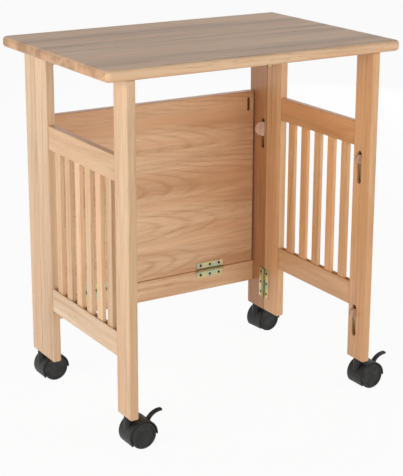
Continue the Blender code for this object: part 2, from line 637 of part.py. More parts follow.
def build():
    clear_scene()
    stand = body("stand", (-pedal_overhang() / 2, 0, 0))
    stand["origin"], stand["place"], stand["at"] = Vector(), Matrix(), Vector
    seams = {-1: LEFT_SEAM - FIT_GAP / 2, 1: RIGHT_SEAM - FIT_GAP / 2}
    pin_x = INNER_X - PIN_STANDOFF
    frames = {
        -1: body("left_frame_pivot", (-pin_x, seams[-1], LEG_BOTTOM), stand),
        1: body("right_frame_pivot", (pin_x, seams[1], LEG_BOTTOM), stand),
    }
    shelf = body("shelf_pivot", (0, SHELF_PIN_Y, SHELF_PIN_Z), stand)
    top = body("table_top_pivot", (0, TOP_PIN_Y, TOP_PIN_Z), stand)

    back_frame(stand)
    side_frame(-1, LEFT_SEAM, LEFT_SLATS, "left", frames[-1])
    side_frame(1, RIGHT_SEAM, RIGHT_SLATS, "right", frames[1])
    shelf_panel(shelf)
    table_top(top)

    lower_hinge = LEG_BOTTOM + LOWER_HINGE_LOW + BUTT_LENGTH / 2
    upper_hinge = LEG_TOP - UPPER_HINGE_DROP - BUTT_LENGTH / 2
    upper_low = LEG_BOTTOM + UPPER_CATCH_LOW
    leg_catch_y = LEG_FRONT + LEG_CATCH_INSET
    for name, side in (("left", -1), ("right", 1)):
        inward = Vector((-side, 0, 0))
        turn = axes(Vector((0, 1, 0)).cross(inward), (0, 1, 0), inward)
        for level, z in (("lower", lower_hinge), ("upper", upper_hinge)):
            centre = (side * pin_x, seams[side], z)
            butt_hinge(f"{name}_{level}_hinge", centre, turn, stand, frames[side])
        centre = (side * (INNER_X - SHELF_HINGE_INSET), SHELF_PIN_Y, SHELF_PIN_Z)
        butt_hinge(f"shelf_{name}_hinge", centre, axes((-1, 0, 0), (0, 0, -1), (0, -1, 0)), stand, shelf)

        stile_y = (LEFT_SEAM, RIGHT_SEAM)[side > 0] + STILE_CATCH_INSET
        catch(f"{name}_stile_catch", side, stile_y, upper_low, STILE_KNOB_HEIGHT, stand)
        catch(f"{name}_upper_leg_catch", side, leg_catch_y, upper_low, LEG_KNOB_HEIGHT, frames[side])
        catch(f"{name}_lower_leg_catch", side, leg_catch_y, leg_catch_low(), LEG_KNOB_HEIGHT, frames[side])

        caster(f"front_{name}_caster", side * STEM_X, FRONT_STEM_Y, 0.0, True, frames[side])
        heading = REAR_RIGHT_HEADING_DEG if side > 0 else 0.0
        caster(f"rear_{name}_caster", side * STEM_X, REAR_STEM_Y, heading, False, stand)

    top_pin = (0, TOP_PIN_Y, TOP_PIN_Z)
    size = (TOP_HINGE_LENGTH, TOP_HINGE_LEAF_WIDTH, TOP_HINGE_KNUCKLES)
    fixed_turn = axes((1, 0, 0), (0, 0, -1), (0, 1, 0))
    moving_turn = axes((1, 0, 0), (0, -1, 0), (0, 0, -1))
    fixed_place = Matrix.Translation(stand["at"](top_pin)) @ fixed_turn
    hinge_leaf("top_hinge_fixed_leaf", *size, 0, stand["root"], fixed_place)
    moving_place = Matrix.Translation(top["at"](top_pin)) @ moving_turn
    hinge_leaf("top_hinge_moving_leaf", *size, 1, top["root"], moving_place)


build()
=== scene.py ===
"""Looks of a folding printer stand: lacquered beech boards, zinc-plated hinges, spring catches and
hooded twin-wheel casters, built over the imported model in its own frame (metres, +Z up).
"""

import json
import math

import bmesh
import bpy
from mathutils import Matrix, Vector

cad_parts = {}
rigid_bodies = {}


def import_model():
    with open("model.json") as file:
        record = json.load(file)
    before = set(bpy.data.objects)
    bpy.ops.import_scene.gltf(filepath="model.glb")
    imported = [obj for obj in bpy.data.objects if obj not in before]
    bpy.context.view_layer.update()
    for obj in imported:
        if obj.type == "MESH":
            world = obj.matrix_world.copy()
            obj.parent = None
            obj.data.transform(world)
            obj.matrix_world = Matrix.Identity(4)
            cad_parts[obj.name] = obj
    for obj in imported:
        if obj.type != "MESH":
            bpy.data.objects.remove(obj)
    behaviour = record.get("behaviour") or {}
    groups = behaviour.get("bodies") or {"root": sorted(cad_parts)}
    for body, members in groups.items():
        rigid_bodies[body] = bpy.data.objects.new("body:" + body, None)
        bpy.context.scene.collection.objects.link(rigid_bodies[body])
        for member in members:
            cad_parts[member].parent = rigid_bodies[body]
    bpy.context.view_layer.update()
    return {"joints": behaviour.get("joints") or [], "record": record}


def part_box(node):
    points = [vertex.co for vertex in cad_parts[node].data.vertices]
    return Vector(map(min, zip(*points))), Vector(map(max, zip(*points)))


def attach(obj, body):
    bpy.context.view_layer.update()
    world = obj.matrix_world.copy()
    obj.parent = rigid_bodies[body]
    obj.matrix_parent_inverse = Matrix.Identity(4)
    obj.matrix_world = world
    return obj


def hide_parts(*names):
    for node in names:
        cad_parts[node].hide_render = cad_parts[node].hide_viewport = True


for obj in list(bpy.data.objects):
    bpy.data.objects.remove(obj, do_unlink=True)
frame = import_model()
body_of = {n: b for b, nodes in frame["record"]["behaviour"]["bodies"].items() for n in nodes}
joint_place = {joint["name"]: Vector(joint["pos_m"]) for joint in frame["joints"]}


# Legs and stiles: six full-height boards of lacquered beech, two to each side frame and two to the
# back frame. They are planed and eased, chamfered at the foot, drilled from below for a caster's
# stem, and the front legs and stiles have round-ended pockets routed for the spring catches.
ACROSS_X, ALONG_Y, UPRIGHT = Vector((1, 0, 0)), Vector((0, 1, 0)), Vector((0, 0, 1))
EASE, EASE_STEPS = 0.0016, 3
FOOT_CHAMFER, FOOT_STEPS = 0.0028, 2
POCKET_DEPTH, POCKET_WIDTH, POCKET_HEIGHT, POCKET_FOOT = 0.013, 0.0116, 0.064, 0.0065
POCKET_END, POCKET_STEPS = POCKET_WIDTH * 0.499, 8
STEM_HOLE_RADIUS, STEM_HOLE_DEPTH = 0.0043, 0.0343
SHARP_ANGLE, SMOOTH_ANGLE = math.radians(50), math.radians(40)
RING_PITCH, RING_SHARPNESS, GRAIN_RELIEF = 0.0085, 4.0, 0.00012
# Pale and deep tones of the two side frames, which are the same beech: the right frame's more orange
# tones are painted warm shade of the bay.
SIDE_TONES_WITH_PAINTED_SHADE = {
    "left": ((0.70, 0.473, 0.285), (0.47, 0.265, 0.128)),
    "right": ((0.79, 0.485, 0.25), (0.54, 0.27, 0.11)),
}
# Rosy shares tint the pale tone; the hollow share darkens the deep tone into the painted shade of cut
# hollows.
ROSY_SHARES, HOLLOW_SHADE_SHARE = (0.91, 0.77, 0.68), 0.3
# Shares of the listed boards' tones; the back right stile's darker, redder share is painted shade of
# its corner beside the panel.
BOARD_TONES_AND_PAINTED_SHADE = {
    "back_right_stile": (0.70, 0.59, 0.515),
    "back_left_stile": (1.0, 1.05, 1.1),
    "left_rear_leg": (1.05, 1.12, 1.2),
    "left_lower_rail": (1.04, 1.1, 1.2),
    "right_upper_rail": (0.97, 0.89, 0.82),
    "right_lower_rail": (1.03, 1.07, 1.14),
}


class Shade:
    """A socket in a finish's node tree; a sum written on it adds the Math nodes."""

    def __init__(self, tree, socket=None):
        self.tree = tree
        self.socket = socket

    def node(self, kind, settings=None, sockets=None, out=0):
        """A node of this kind: its settings first, then the values or links of its sockets."""
        made = self.tree.nodes.new(kind)
        for name, value in (settings or {}).items():
            setattr(made, name, value)
        for name, value in (sockets or {}).items():
            if isinstance(value, Shade):
                self.tree.links.new(value.socket, made.inputs[name])
            else:
                made.inputs[name].default_value = value
        return Shade(self.tree, made.outputs[out]) if made.outputs else None

    def sum(self, operation, *values):
        return self.node("ShaderNodeMath", {"operation": operation}, dict(enumerate(values)))

    def __add__(self, other):
        return self.sum("ADD", self, other)

    def __sub__(self, other):
        return self.sum("SUBTRACT", self, other)

    def __rsub__(self, other):
        return self.sum("SUBTRACT", other, self)

    def __mul__(self, other):
        return self.sum("MULTIPLY", self, other)

    def __pow__(self, other):
        return self.sum("POWER", self, other)

    def __abs__(self):
        return self.sum("ABSOLUTE", self)

    __radd__ = __add__
    __rmul__ = __mul__


def new_finish(name):
    """An empty material and the start of its nodes."""
    made = bpy.data.materials.new(name)
    made.use_nodes = True
    made.node_tree.nodes.clear()
    return made, Shade(made.node_tree)


def clouds(shade, place, waves, seed, detail=2.0):
    """Noise from 0 to 1 over a place, with so many waves in a metre along each of its axes."""
    spread = shade.node("ShaderNodeVectorMath", {"operation": "MULTIPLY"}, {0: place, 1: waves})
    return shade.node(
        "ShaderNodeTexNoise",
        {"noise_dimensions": "4D"},
        {"Vector": spread, "W": seed, "Scale": 1.0, "Detail": detail, "Roughness": 0.55},
    )


def between(shade, value, low, high):
    """0 where a value is under low, 1 where it is over high, and smooth between."""
    return shade.node(
        "ShaderNodeMapRange",
        {"interpolation_type": "SMOOTHSTEP"},
        {"Value": value, "From Min": low, "From Max": high},
    )


def tinted(shade, share, first, second):
    """The first colour, going over to the second by this share."""
    return shade.node("ShaderNodeMix", {"data_type": "RGBA"}, {0: share, 6: first, 7: second}, out=2)


def surfaced(made, shade, sockets, height, depth):
    """Closes a finish: the shader with its sockets' values, and a height that is felt so deep."""
    bump = shade.node("ShaderNodeBump", None, {"Strength": 1.0, "Distance": depth, "Height": height})
    shader = shade.node("ShaderNodeBsdfPrincipled", None, {**sockets, "Normal": bump})
    shade.node("ShaderNodeOutputMaterial", None, {"Surface": shader})
    return made


def beech(
    name,
    low,
    high,
    grain,
    across,
    seed,
    tones,
    pith=(0.09, 0.10),
    taper=0.02,
    lines=0.3,
    stave=0.5,
    coat=0.3,
    painted_edge_light=0.0,
    painted_end_shade=0.0,
):
    """Lacquered beech in glued staves: year rings as a face cuts them, fibres, pores, darkened eased
    edges.

    The pith lies so far from a stave's middle, taper tilts the rings along the grain and lines is how
    strongly they show. Of the last two shares, one paints a highlight on the rounded long edges and
    the other paints shade, deeper and redder, over the far end of the board.
    """
    made, shade = new_finish(name)
    turn = Matrix((grain, across, grain.cross(across)))
    spot = shade.node("ShaderNodeTexCoord", out="Object")
    laid = shade.node(
        "ShaderNodeMapping",
        {"vector_type": "POINT"},
        {"Vector": spot, "Rotation": turn.to_euler(), "Location": -(turn @ ((low + high) / 2))},
    )
    parts = shade.node("ShaderNodeSeparateXYZ", None, {0: laid}).socket.node.outputs
    along, width, depth = (Shade(shade.tree, part) for part in parts)

    # Each stave has a number from its place, and all its figure is drawn by that number.
    half = turn @ ((high - low) / 2)
    number = shade.sum("FLOOR", (abs(half[1]) - width) * (1 / stave))
    own = shade.node("ShaderNodeTexWhiteNoise", {"noise_dimensions": "1D"}, {"W": number + seed})
    sort = number * 17.3 + seed
    sway = clouds(shade, laid, (3.2, 9.0, 9.0), sort)
    wander = clouds(shade, laid, (2.8, 3.0, 3.0), sort + 7.3)
    ring_width = width + number * stave + pith[0] + (own - 0.5) * 0.14 + (sway - 0.5) * 0.02
    ring_depth = depth + pith[1] + own * 0.02 + (wander - 0.5) * 0.03
    rings = (ring_width * ring_width + ring_depth * ring_depth) ** 0.5 + along * taper
    shown = between(shade, clouds(shade, laid, (5.0, 40.0, 40.0), sort + 1.7), 0.32, 0.62)
    wave = shade.sum("SINE", rings * (math.tau / RING_PITCH)) * 0.5 + 0.5
    late_wood = wave**RING_SHARPNESS * shown
    fibre = clouds(shade, laid, (7.0, 150.0, 150.0), sort + 2.1, 3.0)
    hair = clouds(shade, laid, (22.0, 800.0, 800.0), sort + 4.7)
    drift = clouds(shade, laid, (1.5, 22.0, 22.0), sort + 5.9)
    blush = clouds(shade, laid, (2.4, 34.0, 34.0), sort + 11.3, 1.0)
    pores = between(shade, clouds(shade, laid, (46.0, 820.0, 820.0), sort + 8.8, 1.0), 0.58, 0.70)

    # How far in from the board's sides a point lies tells edges, ends and hollows apart; the cut
    # hollows get painted shade.
    inset = [abs(size) - abs(part) for size, part in zip(half, (along, width, depth))]
    nearer, farther = shade.sum("MINIMUM", *inset[:2]), shade.sum("MAXIMUM", *inset[:2])
    from_edge = shade.sum("MAXIMUM", nearer, shade.sum("MINIMUM", farther, inset[2]))
    eased_edge_mask = (1 - between(shade, from_edge, 0.0004, 0.0026)) * between(shade, fibre, 0.25, 0.65)
    end_grain = 1 - between(shade, inset[0], 0.0006, 0.0022)
    inside = between(shade, shade.sum("MINIMUM", nearer, inset[2]), 0.0020, 0.0065)
    # Painted highlight: the rounded long edges are painted paler.
    rounded = (1 - between(shade, inset[1], 0.0035, 0.0075)) * painted_edge_light

    tone = late_wood * lines + fibre * 1.2 + drift * 2.1 + hair * 0.35 + pores * 0.4 + own * 0.25 - 1.57
    pale, deep = ((*tint, 1.0) for tint in tones)
    rosy = tuple(part * share for part, share in zip(tones[0], ROSY_SHARES)) + (1.0,)
    painted_hollow_shade = tuple(part * HOLLOW_SHADE_SHARE for part in tones[1]) + (1.0,)
    # Painted shade, deeper and redder, over the far end of the board.
    painted_end_shade_mask = between(shade, along, 0.02, 0.20) * painted_end_shade
    body = tinted(shade, tone + painted_end_shade_mask + end_grain * 0.45 - rounded, pale, deep)
    warm = tinted(shade, between(shade, blush, 0.42, 0.68) * 0.6, body, rosy)
    # Eased edges darkened towards the deep tone, unevenly along the fibre.
    rubbed = tinted(shade, eased_edge_mask * 0.45, warm, deep)
    # Painted shade: faces deep inside cut pockets, slots, holes and grooves go dark.
    colour = tinted(shade, inside * 0.8, rubbed, painted_hollow_shade)
    sockets = {
        "Base Color": colour,
        "Roughness": 0.36 + fibre * 0.14 + eased_edge_mask * 0.12,
        "Coat Weight": coat,
        "Coat Roughness": 0.26,
    }
    return surfaced(made, shade, sockets, fibre * 0.4 + hair * 0.3 - pores * 0.6, GRAIN_RELIEF)


def board_tones(node, tones):
    """The pale and deep tone of one board, each board being a little unlike its neighbours; on the back
    right stile the share is painted shade.
    """
    shares = BOARD_TONES_AND_PAINTED_SHADE.get(node, (1.0, 1.0, 1.0))
    return [tuple(part * share for part, share in zip(tint, shares)) for tint in tones]


def sawn(name, low, high):
    """A cube added at a piece's place and brought to its size."""
    bpy.ops.object.select_all(action="DESELECT")
    bpy.ops.mesh.primitive_cube_add(size=1, location=(Vector(low) + Vector(high)) / 2)
    made = bpy.context.object
    made.name = name
    made.scale = Vector(high) - Vector(low)
    bpy.ops.object.transform_apply(location=True, rotation=True, scale=True)
    return made


def picked(obj, kind, test):
    """Goes into edit mode with only the corners, edges or faces selected that pass the test."""
    bpy.context.view_layer.objects.active = obj
    bpy.ops.object.mode_set(mode="EDIT")
    bpy.ops.mesh.select_mode(type=kind)
    bpy.ops.mesh.select_all(action="DESELECT")
    mesh = bmesh.from_edit_mesh(obj.data)
    for item in {"VERT": mesh.verts, "EDGE": mesh.edges, "FACE": mesh.faces}[kind]:
        item.select_set(test(item))
    mesh.select_flush_mode()
    bmesh.update_edit_mesh(obj.data)


def eased(obj, test, offset, segments):
    """Rounds the edges that pass the test."""
    picked(obj, "EDGE", test)
    bpy.ops.mesh.bevel(offset=offset, segments=segments, affect="EDGES", clamp_overlap=True)
    bpy.ops.object.mode_set(mode="OBJECT")


def runs(edge, axis):
    """Whether an edge runs along this axis."""
    return abs((edge.verts[0].co - edge.verts[1].co).normalized()[axis]) > 0.999


def sharp(edge):
    """Whether two faces meet in a clear corner at an edge."""
    return edge.is_manifold and edge.calc_face_angle(0.0) > SHARP_ANGLE


def cut(obj, tool):
    """Takes the tool's shape out of a piece."""
    bpy.context.view_layer.objects.active = obj
    bpy.ops.object.modifier_add(type="BOOLEAN")
    taken = obj.modifiers[-1]
    taken.operation = "DIFFERENCE"
    taken.object = tool
    bpy.ops.object.modifier_apply(modifier=taken.name)
    bpy.data.objects.remove(tool, do_unlink=True)


def rod(name, start, end, radius, sides=24):
    """A cylinder added between two points."""
    start, end = Vector(start), Vector(end)
    bpy.ops.object.select_all(action="DESELECT")
    bpy.ops.mesh.primitive_cylinder_add(
        vertices=sides,
        radius=radius,
        depth=(end - start).length,
        location=(start + end) / 2,
        rotation=(end - start).to_track_quat("Z", "Y").to_euler(),
    )
    made = bpy.context.object
    made.name = name
    bpy.ops.object.transform_apply(location=True, rotation=True, scale=True)
    return made


def dressed(obj, body, finish, slot, *nodes):
    """Smooths a finished piece, gives it its finish, and sets it on its body for these nodes."""
    bpy.ops.object.select_all(action="DESELECT")
    obj.select_set(True)
    bpy.context.view_layer.objects.active = obj
    bpy.ops.object.shade_smooth_by_angle(angle=SMOOTH_ANGLE)
    bpy.ops.object.modifier_add(type="WEIGHTED_NORMAL")
    obj.modifiers[-1].keep_sharp = True
    bpy.ops.object.modifier_apply(modifier=obj.modifiers[-1].name)
    obj.data.materials.clear()
    obj.data.materials.append(finish)
    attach(obj, body)
    if nodes:
        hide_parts(*nodes)


def routed_pocket(face, inward, catch):
    """The cutter of a catch's pocket, from the board's inner face."""
    foot = joint_place[f"{catch}_press"] - Vector((0, 0, POCKET_FOOT))
    xs = sorted((face - inward * POCKET_DEPTH, face + inward * POCKET_DEPTH))
    low = (xs[0], foot.y - POCKET_WIDTH / 2, foot.z)
    tool = sawn("pocket_tool", low, (xs[1], foot.y + POCKET_WIDTH / 2, foot.z + POCKET_HEIGHT))
    eased(tool, lambda edge: runs(edge, 0), POCKET_END, POCKET_STEPS)
    return tool


for side, inward in (("left", 1), ("right", -1)):
    uprights = {
        f"back_{side}_stile": ([f"{side}_stile_catch"], f"rear_{side}_caster_swivel"),
        f"{side}_rear_leg": ([], None),
        f"{side}_front_leg": (
            [f"{side}_upper_leg_catch", f"{side}_lower_leg_catch"],
            f"front_{side}_caster_swivel",
        ),
    }
    for number, (node, (catches, stem)) in enumerate(uprights.items()):
        low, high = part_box(node)
        board = sawn(f"{node}_board", low, high)
        at_foot = lambda edge: all(v.co.z < low.z + 1e-5 for v in edge.verts)
        eased(board, at_foot, FOOT_CHAMFER, FOOT_STEPS)
        eased(board, sharp, EASE, EASE_STEPS)
        for catch in catches:
            cut(board, routed_pocket(high.x if inward > 0 else low.x, inward, catch))
        if stem:
            hole = joint_place[stem]
            top = low.z + STEM_HOLE_DEPTH
            cut(board, rod("drill", (hole.x, hole.y, 0), (hole.x, hole.y, top), STEM_HOLE_RADIUS))
        seed = 3.0 + 5.0 * number + 20.0 * (inward > 0)
        tones = board_tones(node, SIDE_TONES_WITH_PAINTED_SHADE[side])
        finish = beech(f"{node}_beech", low, high, UPRIGHT, ALONG_Y, seed, tones)
        dressed(board, body_of[node], finish, "wood", node)


# Side rails: two beech rails between the legs of each side frame, a little thinner than the legs.
# A groove is run along the edge that faces the slats, and the rails are glued and dowelled.
GROOVE_WIDTH, GROOVE_DEPTH = 0.0094, 0.0045
for side, tones in SIDE_TONES_WITH_PAINTED_SHADE.items():
    for level, seed in (("upper", 31.0), ("lower", 37.0)):
        node = f"{side}_{level}_rail"
        low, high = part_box(node)
        board = sawn(f"{node}_board", low, high)
        eased(board, sharp, EASE, EASE_STEPS)
        middle = (low.x + high.x) / 2
        edge_z = low.z if level == "upper" else high.z
        groove_low = (middle - GROOVE_WIDTH / 2, low.y - EASE, edge_z - GROOVE_DEPTH)
        groove_high = (middle + GROOVE_WIDTH / 2, high.y + EASE, edge_z + GROOVE_DEPTH)
        cut(board, sawn("groove_tool", groove_low, groove_high))
        finish = beech(
            f"{node}_beech",
            low,
            high,
            ALONG_Y,
            UPRIGHT,
            seed + len(side),
            board_tones(node, tones),
            pith=(0.01, 0.07),
        )
        dressed(board, body_of[node], finish, "wood", node)


# Slats: thin beech laths that stand in the grooves of the side rails, six on the left and five on
# the right. Each is ripped from another board, so its tone differs a little from its neighbours'.
SLAT_EASE = 0.001
SLAT_COUNTS = {"left": 6, "right": 5}
SLAT_SHADES = (1.0, 1.16, 1.06, 1.19, 1.04, 1.12)
for side, tones in SIDE_TONES_WITH_PAINTED_SHADE.items():
    for number in range(1, SLAT_COUNTS[side] + 1):
        node = f"{side}_slat_{number}"
        low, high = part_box(node)
        lath = sawn(f"{node}_lath", low, high)
        eased(lath, sharp, SLAT_EASE, EASE_STEPS)
        shaded = [tuple(part * SLAT_SHADES[number - 1] for part in tint) for tint in tones]
        seed = 50.0 + 3.7 * number + len(side)
        finish = beech(f"{node}_beech", low, high, UPRIGHT, ALONG_Y, seed, shaded)
        dressed(lath, body_of[node], finish, "wood", node)


# Back rails: two beech rails that join the stiles, one close under the table top and one at the
# foot of the shelf panel, glued and dowelled, flush with each other.
BACK_TONES = ((0.91, 0.645, 0.40), (0.63, 0.335, 0.165))
for node, seed in (("back_top_rail", 81.0), ("back_bottom_rail", 86.0)):
    low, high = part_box(node)
    board = sawn(f"{node}_board", low, high)
    eased(board, sharp, EASE, EASE_STEPS)
    finish = beech(
        f"{node}_beech", low, high, ACROSS_X, UPRIGHT, seed, BACK_TONES, pith=(0.01, 0.08)
    )
    dressed(board, body_of[node], finish, "wood", node)


# Shelf panel: a board of glued beech staves, hinged on the bottom rail, that drops forward to a
# shelf. Near each upper corner a blind slot is routed in its face, with a drilled hole at its foot.
SLOT_WIDTH, SLOT_HEIGHT, SLOT_DEPTH, SLOT_EDGE, SLOT_DROP = 0.0075, 0.029, 0.010, 0.009, 0.012
SLOT_CORNER, SLOT_STEPS = SLOT_WIDTH * 0.3, 3
SLOT_HOLE_RADIUS, SLOT_HOLE_DEPTH = 0.0036, 0.011
low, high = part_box("shelf_panel")
panel = sawn("shelf_panel_board", low, high)
eased(panel, sharp, EASE, EASE_STEPS)
for outer, inner in (
    (low.x + SLOT_EDGE, low.x + SLOT_EDGE + SLOT_WIDTH),
    (high.x - SLOT_EDGE - SLOT_WIDTH, high.x - SLOT_EDGE),
):
    slot_top = high.z - SLOT_DROP
    slot_low = slot_top - SLOT_HEIGHT
    tool = sawn(
        "slot_tool", (outer, low.y - SLOT_DEPTH, slot_low), (inner, low.y + SLOT_DEPTH, slot_top)
    )
    eased(tool, lambda edge: runs(edge, 1), SLOT_CORNER, SLOT_STEPS)
    cut(panel, tool)
    hole_x, hole_z = (outer + inner) / 2, slot_low + SLOT_HOLE_RADIUS
    ends = [(hole_x, low.y - SLOT_DEPTH, hole_z), (hole_x, low.y + SLOT_HOLE_DEPTH, hole_z)]
    cut(panel, rod("drill", *ends, SLOT_HOLE_RADIUS))
finish = beech(
    "shelf_panel_beech",
    low,
    high,
    ACROSS_X,
    UPRIGHT,
    93.0,
    BACK_TONES,
    pith=(-0.132, 0.008),
    taper=0.11,
    lines=0.4,
    stave=0.102,
    # Painted shade over the panel's right end, next to the right frame.
    painted_end_shade=0.34,
)
dressed(panel, "shelf", finish, "wood", "shelf_panel")


# Table top: a beech board with rounded corners and softly rounded edges, lacquered to a sheen. It
# hangs on the long hinge at its back edge and rests on the legs.
TOP_CORNER, TOP_CORNER_STEPS, TOP_EDGE, TOP_EDGE_STEPS = 0.011, 8, 0.007, 5
TOP_TONES = ((0.76, 0.505, 0.305), (0.35, 0.185, 0.088))
low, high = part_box("table_top")
top = sawn("table_top_board", low, high)
eased(top, lambda edge: runs(edge, 2), TOP_CORNER, TOP_CORNER_STEPS)
eased(top, lambda edge: sharp(edge) and not runs(edge, 2), TOP_EDGE, TOP_EDGE_STEPS)
finish = beech(
    "table_top_beech",
    low,
    high,
    ACROSS_X,
    ALONG_Y,
    107.0,
    TOP_TONES,
    pith=(-0.05, 0.03),
    taper=0.05,
    lines=0.4,
    stave=0.105,
    coat=0.0,
    # Painted highlight on the top's rounded front and back edges.
    painted_edge_light=0.5,
)
dressed(top, "top", finish, "wood", "table_top")


# Butt hinges: six pairs of pressed steel leaves, plated in yellow-passivated zinc, each pair on its
# own pin. The leaves lie open on the boards, three countersunk screws to a leaf.
LEAF_THICKNESS, KNUCKLE_RADIUS, KNUCKLE_GAP = 0.0015, 0.0032, 0.0003
LEAF_CORNER, LEAF_EASE, LEAF_LAP = 0.0018, 0.0003, 0.0004
KNUCKLE_SIDES, PIN_WALL, PIN_RIM, PIN_SUNK = 28, 0.45, 0.0002, 0.0003
BUTT_LENGTH, BUTT_WIDTH, BUTT_KNUCKLES, BUTT_SCREWS, BUTT_SPREAD = 0.0635, 0.0165, 5, 3, 1.06
SCREW_RADIUS, SCREW_HEIGHT, SCREW_SIDES, SCREW_EASE = 0.0027, 0.0008, 20, 0.0003
SCREW_SHIFT, SCREW_SUNK, SINK_SHARE, SINK_OVERCUT = 0.0004, 0.0002, 1.12, 0.001
RECESS_REACH, RECESS_HALF = SCREW_RADIUS * 0.62, SCREW_RADIUS * 0.15
ZINC_YELLOW, ZINC_GREEN = (0.76, 0.60, 0.25, 1), (0.46, 0.57, 0.37, 1)
ZINC_GREY, RUBBED_STEEL = (0.52, 0.47, 0.44, 1), (0.22, 0.19, 0.14, 1)
ZINC_RELIEF, STEEL_RELIEF = 0.00005, 0.00006


def yellow_zinc(name, seed):
    """Zinc plate with a yellow passivation that shimmers into green and grey."""
    made, shade = new_finish(name)
    spot = shade.node("ShaderNodeTexCoord", out="Object")
    shimmer = clouds(shade, spot, (55.0, 55.0, 55.0), seed, 1.0)
    second = clouds(shade, spot, (80.0, 80.0, 80.0), seed + 3.1, 1.0)
    fine = clouds(shade, spot, (900.0, 900.0, 900.0), seed + 6.2)
    green = tinted(shade, between(shade, shimmer, 0.42, 0.60), ZINC_YELLOW, ZINC_GREEN)
    colour = tinted(shade, between(shade, second, 0.55, 0.72), green, ZINC_GREY)
    sockets = {"Base Color": colour, "Metallic": 0.85, "Roughness": 0.26 + fine * 0.22}
    return surfaced(made, shade, sockets, fine, ZINC_RELIEF)


def dark_steel(name, tint):
    """Blackened steel of screws and pins, rubbed a little brighter in places; the tint given for the
    hinge barrels is painted shade.
    """
    made, shade = new_finish(name)
    spot = shade.node("ShaderNodeTexCoord", out="Object")
    rubbed = clouds(shade, spot, (420.0, 420.0, 420.0), 4.0)
    colour = tinted(shade, between(shade, rubbed, 0.5, 0.8), (*tint, 1), RUBBED_STEEL)
    sockets = {"Base Color": colour, "Metallic": 0.9, "Roughness": 0.34 + rubbed * 0.2}
    return surfaced(made, shade, sockets, rubbed, STEEL_RELIEF)


def joined(pieces, name):
    """Pieces made one object."""
    bpy.ops.object.select_all(action="DESELECT")
    for item in pieces:
        item.select_set(True)
    bpy.context.view_layer.objects.active = pieces[0]
    bpy.ops.object.join()
    pieces[0].name = name
    return pieces[0]


def screw_head():
    """A countersunk screw's head with a cross recess, its top at the origin."""
    head = rod("screw", (0, 0, -SCREW_HEIGHT), (0, 0, 0), SCREW_RADIUS, SCREW_SIDES)
    eased(head, lambda edge: sharp(edge) and edge.verts[0].co.z > -1e-6, SCREW_EASE, 2)
    for x, y in ((RECESS_REACH, RECESS_HALF), (RECESS_HALF, RECESS_REACH)):
        cut(head, sawn("recess_tool", (-x, -y, -SCREW_HEIGHT / 2), (x, y, SCREW_HEIGHT)))
    return head


def copied(master, name, place):
    """A copy of a piece with its own mesh, the place put into the mesh."""
    bpy.ops.object.select_all(action="DESELECT")
    master.select_set(True)
    bpy.context.view_layer.objects.active = master
    bpy.ops.object.duplicate()
    made = bpy.context.object
    made.name = name
    made.matrix_world = place
    bpy.ops.object.transform_apply(location=True, rotation=True, scale=True)
    return made


def hinge_leaf(length, width, knuckles, first, screws, spread=1.0):
    """A leaf along local +Y whose knuckles lie on local X, its barrel and its screws apart."""
    floor = -KNUCKLE_RADIUS
    face = floor + LEAF_THICKNESS
    start = KNUCKLE_RADIUS + KNUCKLE_GAP
    plate = sawn("leaf", (-length / 2, start, floor), (length / 2, width, face))
    eased(plate, lambda edge: runs(edge, 2) and edge.verts[0].co.y > start + 1e-5, LEAF_CORNER, 4)
    eased(plate, lambda edge: sharp(edge) and edge.verts[0].co.z > face - 1e-6, LEAF_EASE, 2)
    heads = []
    master = screw_head()
    middle = (start + width) / 2 + SCREW_SHIFT
    for number in range(screws):
        x = length * ((number + 0.5) / screws - 0.5) * spread
        ends = [(x, middle, floor - SINK_OVERCUT), (x, middle, face + SINK_OVERCUT)]
        cut(plate, rod("sink_tool", *ends, SCREW_RADIUS * SINK_SHARE))
        heads.append(copied(master, "head", Matrix.Translation((x, middle, face - SCREW_SUNK))))
    bpy.data.objects.remove(master, do_unlink=True)
    pitch = length / knuckles
    tabs, barrels = [plate], []
    for knuckle in range(first, knuckles, 2):
        low, high = (-length / 2 + end * pitch for end in (knuckle, knuckle + 1))
        low += KNUCKLE_GAP / 2 if knuckle else 0.0
        high -= KNUCKLE_GAP / 2 if knuckle < knuckles - 1 else 0.0
        tabs.append(sawn("tab", (low, 0, floor), (high, start + LEAF_LAP, face)))
        barrel = rod("barrel", (low, 0, 0), (high, 0, 0), KNUCKLE_RADIUS, KNUCKLE_SIDES)
        picked(barrel, "FACE", lambda f: len(f.verts) > 4)
        bpy.ops.mesh.inset(thickness=KNUCKLE_RADIUS * PIN_WALL, depth=0, use_individual=True)
        bpy.ops.mesh.inset(thickness=PIN_RIM, depth=-PIN_SUNK, use_individual=True)
        bpy.ops.object.mode_set(mode="OBJECT")
        barrels.append(barrel)
    return joined(tabs, "leaf"), joined(barrels, "barrel"), joined(heads, "screws")


def hung(parts, node, place, finishes):
    """Copies of a leaf, its barrel and its screws at a hinge's place, for this node."""
    for number, (part, finish) in enumerate(zip(parts, finishes)):
        made = copied(part, f"{node}_{part.name.split('.')[0]}", place)
        dressed(made, body_of[node], finish, "hinge", *([node] if number == 0 else []))


leaf_masters = [
    hinge_leaf(BUTT_LENGTH, BUTT_WIDTH, BUTT_KNUCKLES, first, BUTT_SCREWS, BUTT_SPREAD)
    for first in (0, 1)
]
screw_steel = dark_steel("screw_steel", (0.05, 0.045, 0.035))
